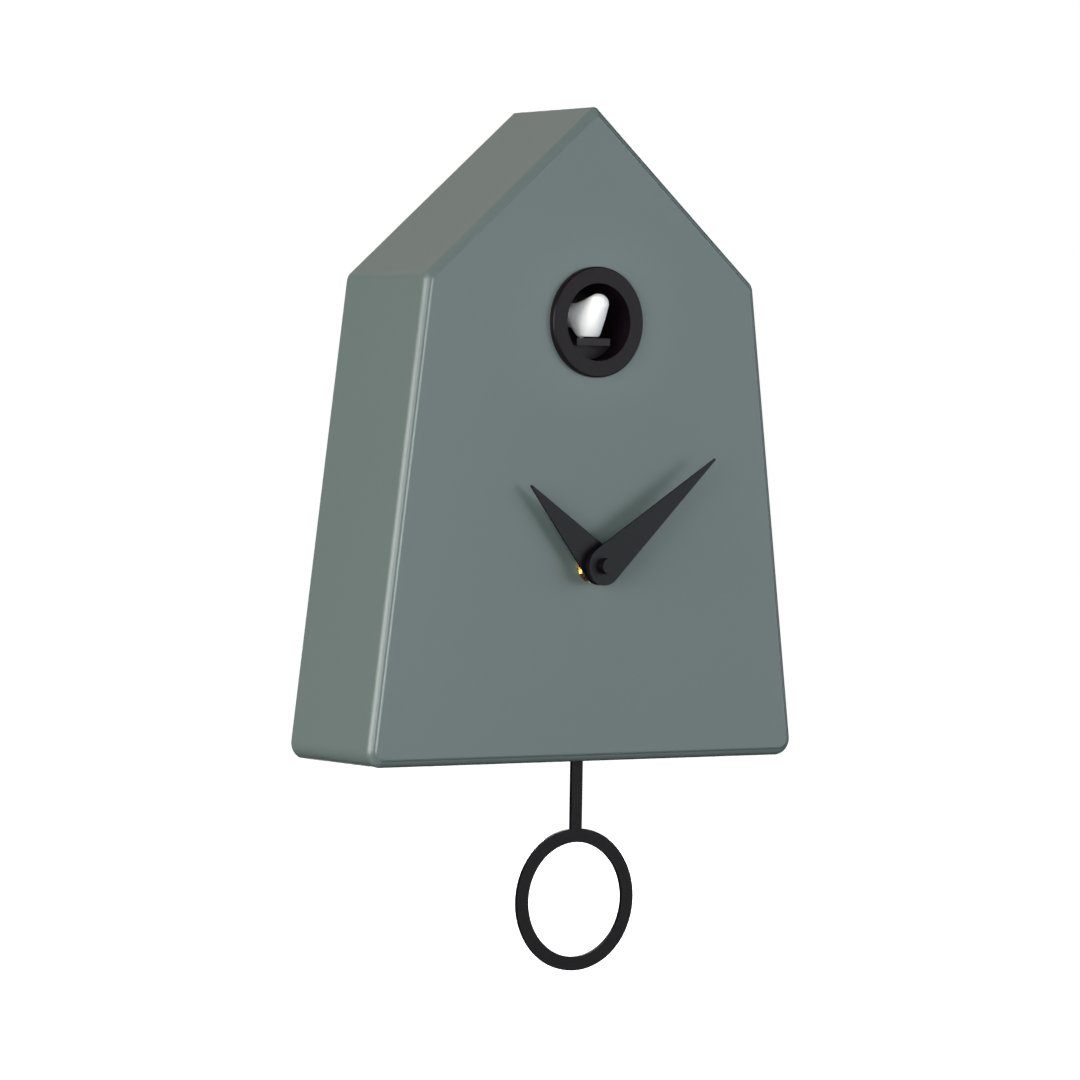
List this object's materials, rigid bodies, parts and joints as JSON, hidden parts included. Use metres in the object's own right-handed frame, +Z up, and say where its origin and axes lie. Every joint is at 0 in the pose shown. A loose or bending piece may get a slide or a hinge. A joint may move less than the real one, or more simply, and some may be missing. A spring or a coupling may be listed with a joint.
{
  "type": "cuckoo clock",
  "caption": "House-shaped wall clock with a porthole cuckoo on a sliding deck, two tapered hands and a ring pendulum hanging below.",
  "frame": {"origin": "centre of the wall hanger's round hole, on the wall plane at the back of the case", "axes": "+Z up, the dial faces -Y, the wall is the plane y = 0, +X is to the right of someone facing the dial"},
  "size_m": [0.2142, 0.073, 0.3569],
  "materials": {
    "sage_lacquer": "satin lacquer over fine board",
    "back_board": "matte dark fibreboard",
    "raw_wood": "raw softwood",
    "zinc_steel": "zinc plated",
    "black_bezel": "matte black",
    "movement_plastic": "fine spark texture",
    "gasket_rubber": "matte",
    "brass_parts": "turned",
    "cell_wrap": "printed wrap without lettering",
    "circuit_board": "solder mask",
    "coil_wire": "enamelled copper winding",
    "iron_core": "stamped",
    "magnet_dark": "pressed ferrite",
    "gear_plastic": "natural",
    "arbor_steel": "turned",
    "black_hands": "matte black coat",
    "black_pendulum": "matte black coat",
    "frame_plastic": "moulded",
    "black_deck": "matte black",
    "white_bird": "satin white",
    "motor_metal": "pressed can",
    "speaker_metal": "pressed basket",
    "speaker_paper": "doped paper",
    "sensor_plastic": "clear lacquered face"
  },
  "bodies": {
    "case": {"front_board": "sage_lacquer", "left_wall": "sage_lacquer", "right_wall": "sage_lacquer", "left_roof": "sage_lacquer", "right_roof": "sage_lacquer", "base_board": "sage_lacquer", "back_panel": "back_board", "glue_blocks": "raw_wood", "panel_screws": "zinc_steel", "hanger_plate": "zinc_steel", "hanger_screws": "zinc_steel", "battery_contacts": "zinc_steel", "pendulum_pin": "zinc_steel", "pinion_axle": "zinc_steel", "frame_screws": "zinc_steel", "tray_contacts": "zinc_steel", "bezel": "black_bezel", "bezel_lock_ring": "black_bezel", "movement_front_shell": "movement_plastic", "movement_rear_shell": "movement_plastic", "movement_gasket": "gasket_rubber", "threaded_bushing": "brass_parts", "dial_washer": "brass_parts", "dial_nut": "brass_parts", "movement_battery": "cell_wrap", "sound_batteries": "cell_wrap", "movement_board": "circuit_board", "sound_board": "circuit_board", "motor_coil": "coil_wire", "pendulum_coil": "coil_wire", "motor_stator": "iron_core", "speaker_magnet": "magnet_dark", "cuckoo_frame": "frame_plastic", "battery_tray": "frame_plastic", "board_posts": "frame_plastic", "gear_motor": "motor_metal", "speaker_frame": "speaker_metal", "speaker_cone": "speaker_paper", "light_sensor": "sensor_plastic"},
    "minute": {"minute_arbor": "arbor_steel", "minute_hand": "black_hands", "hand_cap": "black_hands"},
    "hour": {"hour_wheel": "gear_plastic", "hour_hand": "black_hands"},
    "setting": {"motion_wheel": "gear_plastic", "setting_knob": "movement_plastic"},
    "second_train_wheel": {"second_wheel": "gear_plastic"},
    "first_train_wheel": {"first_wheel": "gear_plastic"},
    "rotor": {"motor_rotor": "magnet_dark"},
    "swing": {"pendulum_lever": "gear_plastic", "pendulum_magnet": "magnet_dark", "pendulum": "black_pendulum"},
    "bird_deck": {"bird_carriage": "black_deck", "bird": "white_bird", "bird_screw": "zinc_steel"},
    "pinion": {"rack_pinion": "gear_plastic"},
    "drive": {"motor_pinion": "gear_plastic"},
    "volume": {"volume_knob": "frame_plastic"},
    "mode": {"mode_slider": "frame_plastic"},
    "door": {"battery_door": "frame_plastic"}
  },
  "joints": [
    {"name": "minute_turn", "type": "hinge", "parent": "case", "child": "minute", "pos_m": [0, -0.06, -0.1495], "axis": [0, 1, 0], "continuous": true},
    {"name": "hour_turn", "type": "hinge", "parent": "case", "child": "hour", "pos_m": [0, -0.06, -0.1495], "axis": [0, 1, 0], "continuous": true},
    {"name": "setting_turn", "type": "hinge", "parent": "case", "child": "setting", "pos_m": [-0.00849, -0.0425, -0.15799], "axis": [0, 1, 0], "continuous": true},
    {"name": "second_wheel_turn", "type": "hinge", "parent": "case", "child": "second_train_wheel", "pos_m": [0.00998, -0.0445, -0.15526], "axis": [0, 1, 0], "continuous": true},
    {"name": "first_wheel_turn", "type": "hinge", "parent": "case", "child": "first_train_wheel", "pos_m": [0.01799, -0.0445, -0.15152], "axis": [0, 1, 0], "continuous": true},
    {"name": "rotor_turn", "type": "hinge", "parent": "case", "child": "rotor", "pos_m": [0.01917, -0.0405, -0.15822], "axis": [0, 1, 0], "continuous": true},
    {"name": "pendulum_swing", "type": "hinge", "parent": "case", "child": "swing", "pos_m": [0, -0.0504, -0.168], "axis": [0, 1, 0], "range_deg": [-6, 6]},
    {"name": "bird_slide", "type": "slide", "parent": "case", "child": "bird_deck", "axis": [0, -1, 0], "range_m": [0, 0.016]},
    {"name": "pinion_turn", "type": "hinge", "parent": "case", "child": "pinion", "pos_m": [0, -0.03, -0.0661], "axis": [1, 0, 0], "range_deg": [0, 170]},
    {"name": "drive_turn", "type": "hinge", "parent": "case", "child": "drive", "pos_m": [0.009, -0.03, -0.0746], "axis": [1, 0, 0], "range_deg": [-410, 0]},
    {"name": "volume_turn", "type": "hinge", "parent": "case", "child": "volume", "pos_m": [0.042, -0.005, -0.0886], "axis": [0, 1, 0], "range_deg": [-135, 135]},
    {"name": "mode_slide", "type": "slide", "parent": "case", "child": "mode", "axis": [1, 0, 0], "range_m": [-0.003, 0.003]},
    {"name": "door_pull", "type": "slide", "parent": "case", "child": "door", "axis": [0, 1, 0], "range_m": [0, 0.03]}
  ],
  "couplings": [
    {"joint": "hour_turn", "follows": "minute_turn", "ratio": 0.083333},
    {"joint": "setting_turn", "follows": "minute_turn", "ratio": -0.33333},
    {"joint": "second_wheel_turn", "follows": "minute_turn", "ratio": -8},
    {"joint": "first_wheel_turn", "follows": "minute_turn", "ratio": 60},
    {"joint": "rotor_turn", "follows": "minute_turn", "ratio": -450},
    {"joint": "pinion_turn", "follows": "bird_slide", "rad_per_m": 178.57},
    {"joint": "drive_turn", "follows": "bird_slide", "rad_per_m": -428.57}
  ]
}
